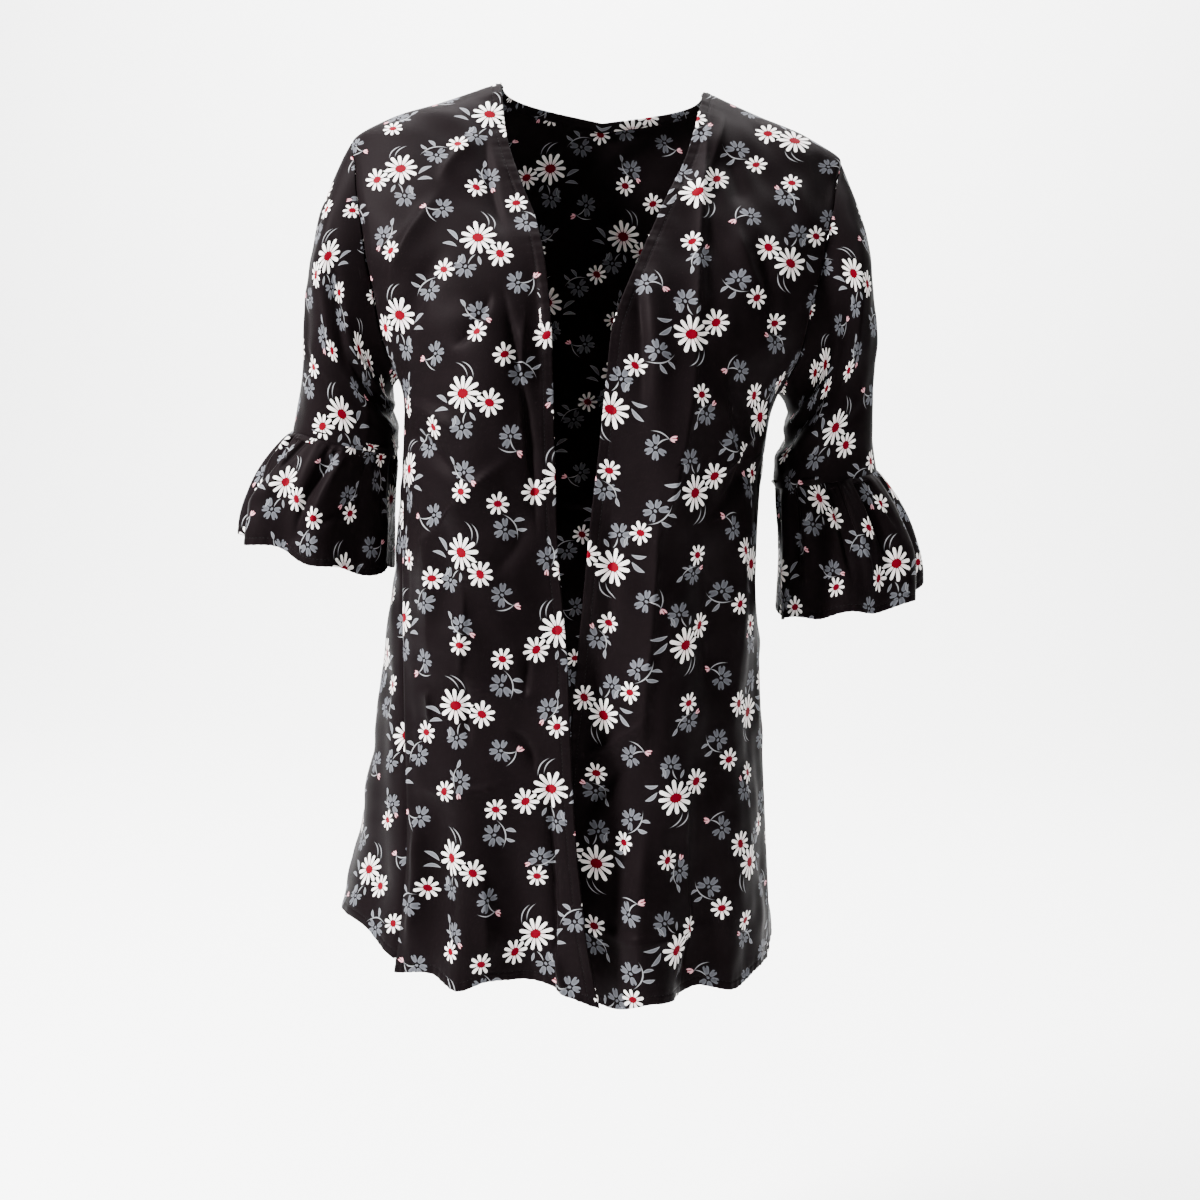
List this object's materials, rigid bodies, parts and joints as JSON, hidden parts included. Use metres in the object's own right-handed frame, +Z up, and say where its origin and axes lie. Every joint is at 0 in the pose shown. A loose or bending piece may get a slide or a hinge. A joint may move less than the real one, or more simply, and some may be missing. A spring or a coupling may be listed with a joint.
{
  "type": "beach kimono",
  "caption": "Open-front beach kimono of light printed cloth, thigh length, with elbow sleeves that end in gathered ruffles, shaped as it hangs when worn.",
  "frame": {"origin": "midway between the neck ends of the two shoulder seams, where the garment rests on the wearer's shoulders", "axes": "+Z up; -Y the way the wearer faces, so the open front is towards -Y; +X towards the wearer's left"},
  "size_m": [0.5621, 0.2814, 0.7023],
  "materials": {
    "print_cloth": "soft matt crepe with a small flower print"
  },
  "bodies": {
    "root": {"back": "print_cloth", "front_right": "print_cloth", "front_left": "print_cloth", "sleeve_right": "print_cloth", "sleeve_left": "print_cloth", "ruffle_right": "print_cloth", "ruffle_left": "print_cloth"}
  },
  "joints": []
}
